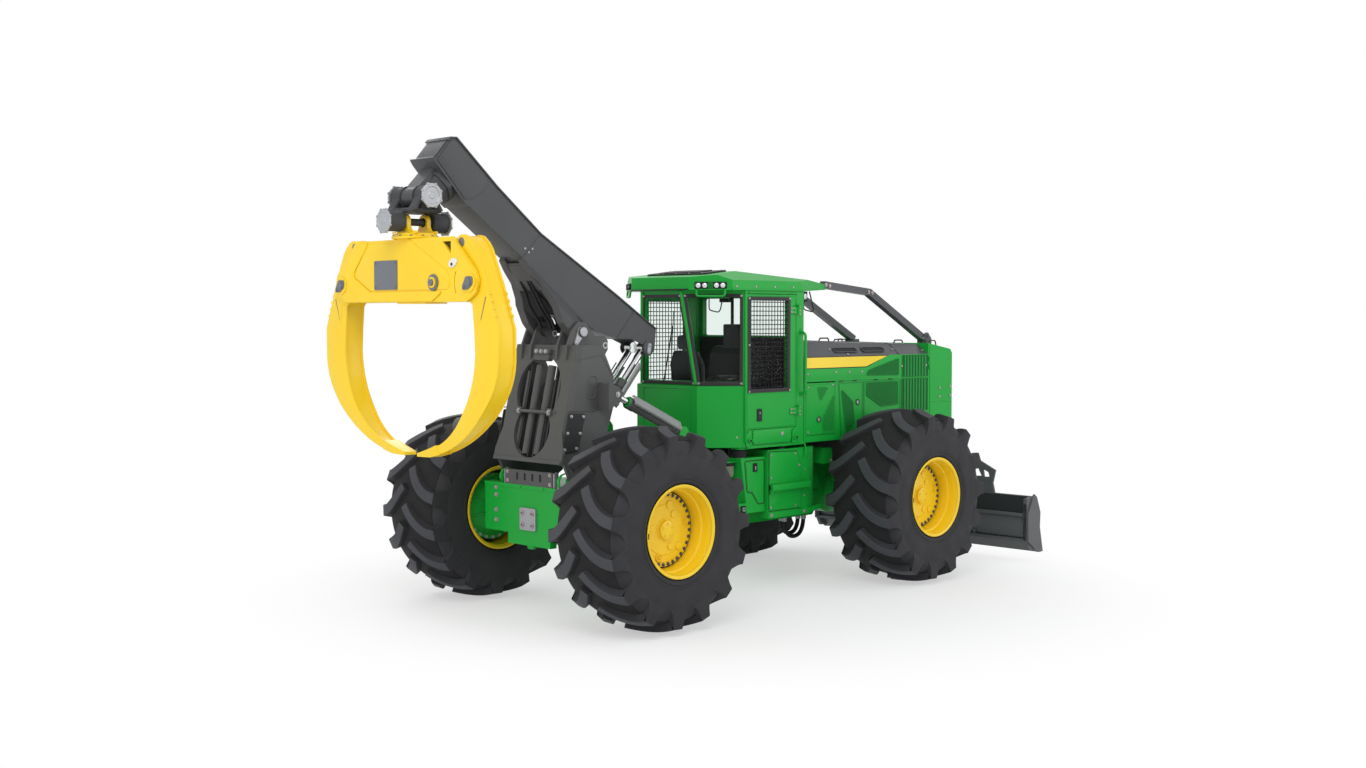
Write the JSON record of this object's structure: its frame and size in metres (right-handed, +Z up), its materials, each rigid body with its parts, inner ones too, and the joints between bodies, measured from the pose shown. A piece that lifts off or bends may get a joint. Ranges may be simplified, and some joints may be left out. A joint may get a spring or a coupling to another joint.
{
  "type": "grapple skidder",
  "caption": "Articulated forestry machine that grips felled trees with a hanging grapple on an arch and drags them, with a dozer blade in front.",
  "frame": {"origin": "on the ground, at the middle of the machine's overall length and width", "axes": "+X forwards to the dozer blade, +Y to the machine's left, +Z up"},
  "size_m": [8.388, 3.576, 4.6398],
  "materials": {
    "tyre": "matt black rubber",
    "yellow_paint": "gloss yellow",
    "glass": "clear, lightly tinted",
    "fabric": "black cloth",
    "black_plastic": "matt",
    "rubber": "matt",
    "rod_steel": "bright",
    "grey_paint": "semi-gloss dark grey",
    "dark_steel": "painted casting",
    "green_paint": "gloss green"
  },
  "bodies": {
    "front_chassis": {"front_frame": "green_paint", "front_axle": "dark_steel", "engine_block": "dark_steel", "engine_hood": "grey_paint", "engine_sides": "green_paint", "front_shroud": "green_paint", "front_grille": "green_paint", "cab_shell": "green_paint", "cab_glass": "glass", "cab_roof": "green_paint", "operator_seat": "fabric", "cab_console": "black_plastic", "roof_struts": "grey_paint", "side_tanks": "green_paint", "cab_mounts": "rubber", "hose_loops": "rubber"},
    "rear_chassis": {"rear_frame": "green_paint", "rear_axle": "dark_steel", "lower_guard": "grey_paint", "winch_housing": "grey_paint"},
    "winch_spool": {"winch_drum": "grey_paint"},
    "blade": {"dozer_blade": "grey_paint"},
    "blade_barrels": {"blade_cylinder_barrels": "grey_paint"},
    "blade_rods": {"blade_cylinder_rods": "rod_steel"},
    "log_arch": {"arch": "grey_paint"},
    "arch_barrels": {"arch_cylinder_barrels": "grey_paint"},
    "arch_rods": {"arch_cylinder_rods": "rod_steel"},
    "log_boom": {"boom": "grey_paint"},
    "boom_barrels": {"boom_cylinder_barrels": "grey_paint"},
    "boom_rods": {"boom_cylinder_rods": "rod_steel"},
    "swing_head": {"crosshead": "grey_paint"},
    "hanger": {"grapple_hanger": "yellow_paint"},
    "grapple": {"grapple_head": "yellow_paint"},
    "wheel_front_right": {"tyre_front_right": "tyre", "rim_front_right": "yellow_paint"},
    "wheel_front_left": {"tyre_front_left": "tyre", "rim_front_left": "yellow_paint"},
    "wheel_rear_right": {"tyre_rear_right": "tyre", "rim_rear_right": "yellow_paint"},
    "wheel_rear_left": {"tyre_rear_left": "tyre", "rim_rear_left": "yellow_paint"},
    "grapple_tong_right": {"tong_right": "yellow_paint"},
    "ram_barrel_right": {"tong_ram_barrel_right": "grey_paint"},
    "ram_rod_right": {"tong_ram_rod_right": "rod_steel"},
    "steer_barrel_right": {"steering_barrel_right": "grey_paint"},
    "steer_rod_right": {"steering_rod_right": "rod_steel"},
    "cab_door_body_right": {"cab_door_right": "green_paint"},
    "engine_door_body_right": {"engine_door_right": "green_paint"},
    "grapple_tong_left": {"tong_left": "yellow_paint"},
    "ram_barrel_left": {"tong_ram_barrel_left": "grey_paint"},
    "ram_rod_left": {"tong_ram_rod_left": "rod_steel"},
    "steer_barrel_left": {"steering_barrel_left": "grey_paint"},
    "steer_rod_left": {"steering_rod_left": "rod_steel"},
    "cab_door_body_left": {"cab_door_left": "green_paint"},
    "engine_door_body_left": {"engine_door_left": "green_paint"}
  },
  "joints": [
    {"name": "steering", "type": "hinge", "parent": "front_chassis", "child": "rear_chassis", "pos_m": [-0.116, 0, 0.97], "axis": [0, 0, 1], "range_deg": [-40, 40]},
    {"name": "front_right_wheel_spin", "type": "hinge", "parent": "front_chassis", "child": "wheel_front_right", "pos_m": [1.884, -1.35, 0.974], "axis": [0, 1, 0], "continuous": true},
    {"name": "front_left_wheel_spin", "type": "hinge", "parent": "front_chassis", "child": "wheel_front_left", "pos_m": [1.884, 1.35, 0.974], "axis": [0, 1, 0], "continuous": true},
    {"name": "rear_right_wheel_spin", "type": "hinge", "parent": "rear_chassis", "child": "wheel_rear_right", "pos_m": [-2.116, -1.35, 0.974], "axis": [0, 1, 0], "continuous": true},
    {"name": "rear_left_wheel_spin", "type": "hinge", "parent": "rear_chassis", "child": "wheel_rear_left", "pos_m": [-2.116, 1.35, 0.974], "axis": [0, 1, 0], "continuous": true},
    {"name": "winch_turn", "type": "hinge", "parent": "rear_chassis", "child": "winch_spool", "pos_m": [-1.536, 0, 1.53], "axis": [0, 1, 0], "continuous": true},
    {"name": "blade_lift", "type": "hinge", "parent": "front_chassis", "child": "blade", "pos_m": [2.934, 0, 0.78], "axis": [0, -1, 0], "range_deg": [-8, 18]},
    {"name": "arch_tilt", "type": "hinge", "parent": "rear_chassis", "child": "log_arch", "pos_m": [-2.316, 0, 1.33], "axis": [0, -1, 0], "range_deg": [0, 35]},
    {"name": "boom_lift", "type": "hinge", "parent": "log_arch", "child": "log_boom", "pos_m": [-2.116, 0, 2.828], "axis": [0, 1, 0], "range_deg": [-25, 20]},
    {"name": "crosshead_swing", "type": "hinge", "parent": "log_boom", "child": "swing_head", "pos_m": [-3.843, 0, 4.086], "axis": [0, -1, 0], "range_deg": [-45, 10]},
    {"name": "grapple_sway", "type": "hinge", "parent": "swing_head", "child": "hanger", "pos_m": [-3.843, 0, 3.851], "axis": [1, 0, 0], "range_deg": [-25, 25]},
    {"name": "grapple_rotate", "type": "hinge", "parent": "hanger", "child": "grapple", "pos_m": [-3.843, 0, 3.7], "axis": [0, 0, 1], "continuous": true},
    {"name": "tong_left_open", "type": "hinge", "parent": "grapple", "child": "grapple_tong_left", "pos_m": [-3.843, 1.008, 3.28], "axis": [1, 0, 0], "range_deg": [0, 50]},
    {"name": "tong_right_open", "type": "hinge", "parent": "grapple", "child": "grapple_tong_right", "pos_m": [-3.843, -1.008, 3.28], "axis": [1, 0, 0], "range_deg": [-50, 0]},
    {"name": "ram_left_pivot", "type": "hinge", "parent": "grapple", "child": "ram_barrel_left", "pos_m": [-3.893, -0.486, 3.285], "axis": [1, 0, 0], "range_deg": [-9.7, 0]},
    {"name": "ram_left_stroke", "type": "slide", "parent": "ram_barrel_left", "child": "ram_rod_left", "axis": [0, 0.9674, 0.2531], "range_m": [-0.262, 0]},
    {"name": "ram_right_pivot", "type": "hinge", "parent": "grapple", "child": "ram_barrel_right", "pos_m": [-3.793, 0.486, 3.285], "axis": [1, 0, 0], "range_deg": [0, 9.7]},
    {"name": "ram_right_stroke", "type": "slide", "parent": "ram_barrel_right", "child": "ram_rod_right", "axis": [0, -0.9674, 0.2531], "range_m": [-0.262, 0]},
    {"name": "arch_barrels_pivot", "type": "hinge", "parent": "rear_chassis", "child": "arch_barrels", "pos_m": [-0.966, 0, 1.78], "axis": [0, -1, 0], "range_deg": [0, 6.4]},
    {"name": "arch_rods_stroke", "type": "slide", "parent": "arch_barrels", "child": "arch_rods", "axis": [-0.9077, 0, 0.4196], "range_m": [0, 0.58]},
    {"name": "boom_barrels_pivot", "type": "hinge", "parent": "log_arch", "child": "boom_barrels", "pos_m": [-1.906, 0, 1.64], "axis": [0, 1, 0], "range_deg": [-11.5, 9.5]},
    {"name": "boom_rods_stroke", "type": "slide", "parent": "boom_barrels", "child": "boom_rods", "axis": [0.6541, 0, 0.7564], "range_m": [-0.33, 0.41]},
    {"name": "blade_barrels_pivot", "type": "hinge", "parent": "front_chassis", "child": "blade_barrels", "pos_m": [3.444, 0, 1.26], "axis": [0, -1, 0], "range_deg": [-8, 17.5]},
    {"name": "blade_rods_stroke", "type": "slide", "parent": "blade_barrels", "child": "blade_rods", "axis": [0.5468, 0, -0.8372], "range_m": [-0.225, 0.105]},
    {"name": "steer_left_pivot", "type": "hinge", "parent": "front_chassis", "child": "steer_barrel_left", "pos_m": [0.404, 0.33, 0.97], "axis": [0, 0, 1], "range_deg": [-19.5, 19.5]},
    {"name": "steer_left_stroke", "type": "slide", "parent": "steer_barrel_left", "child": "steer_rod_left", "axis": [-0.9995, -0.03, 0], "range_m": [-0.225, 0.225]},
    {"name": "steer_right_pivot", "type": "hinge", "parent": "front_chassis", "child": "steer_barrel_right", "pos_m": [0.404, -0.33, 0.97], "axis": [0, 0, 1], "range_deg": [-19.5, 19.5]},
    {"name": "steer_right_stroke", "type": "slide", "parent": "steer_barrel_right", "child": "steer_rod_right", "axis": [-0.9995, 0.03, 0], "range_m": [-0.225, 0.225]},
    {"name": "cab_door_right_hinge", "type": "hinge", "parent": "front_chassis", "child": "cab_door_body_right", "pos_m": [0.626, -0.82, 2.5], "axis": [0, 0, 1], "range_deg": [0, 80]},
    {"name": "cab_door_left_hinge", "type": "hinge", "parent": "front_chassis", "child": "cab_door_body_left", "pos_m": [0.626, 0.82, 2.5], "axis": [0, 0, -1], "range_deg": [0, 80]},
    {"name": "engine_door_right_hinge", "type": "hinge", "parent": "front_chassis", "child": "engine_door_body_right", "pos_m": [1.024, -0.7875, 2.232], "axis": [-1, 0, 0], "range_deg": [0, 70]},
    {"name": "engine_door_left_hinge", "type": "hinge", "parent": "front_chassis", "child": "engine_door_body_left", "pos_m": [1.024, 0.7875, 2.232], "axis": [1, 0, 0], "range_deg": [0, 70]}
  ],
  "couplings": [
    {"joint": "tong_right_open", "follows": "tong_left_open", "ratio": -1},
    {"joint": "ram_left_pivot", "follows": "tong_left_open", "ratio": -0.18756},
    {"joint": "ram_left_stroke", "follows": "tong_left_open", "m_per_rad": -0.29335},
    {"joint": "ram_right_pivot", "follows": "tong_left_open", "ratio": 0.18756},
    {"joint": "ram_right_stroke", "follows": "tong_left_open", "m_per_rad": -0.29335},
    {"joint": "arch_barrels_pivot", "follows": "arch_tilt", "ratio": 0.17429},
    {"joint": "arch_rods_stroke", "follows": "arch_tilt", "m_per_rad": 0.9331},
    {"joint": "boom_barrels_pivot", "follows": "boom_lift", "ratio": 0.434},
    {"joint": "boom_rods_stroke", "follows": "boom_lift", "m_per_rad": -0.9107},
    {"joint": "blade_barrels_pivot", "follows": "blade_lift", "ratio": 0.9223},
    {"joint": "blade_rods_stroke", "follows": "blade_lift", "m_per_rad": -0.6956},
    {"joint": "steer_left_pivot", "follows": "steering", "ratio": 0.4688},
    {"joint": "steer_left_stroke", "follows": "steering", "m_per_rad": 0.3102},
    {"joint": "steer_right_pivot", "follows": "steering", "ratio": 0.4688},
    {"joint": "steer_right_stroke", "follows": "steering", "m_per_rad": -0.3102}
  ]
}
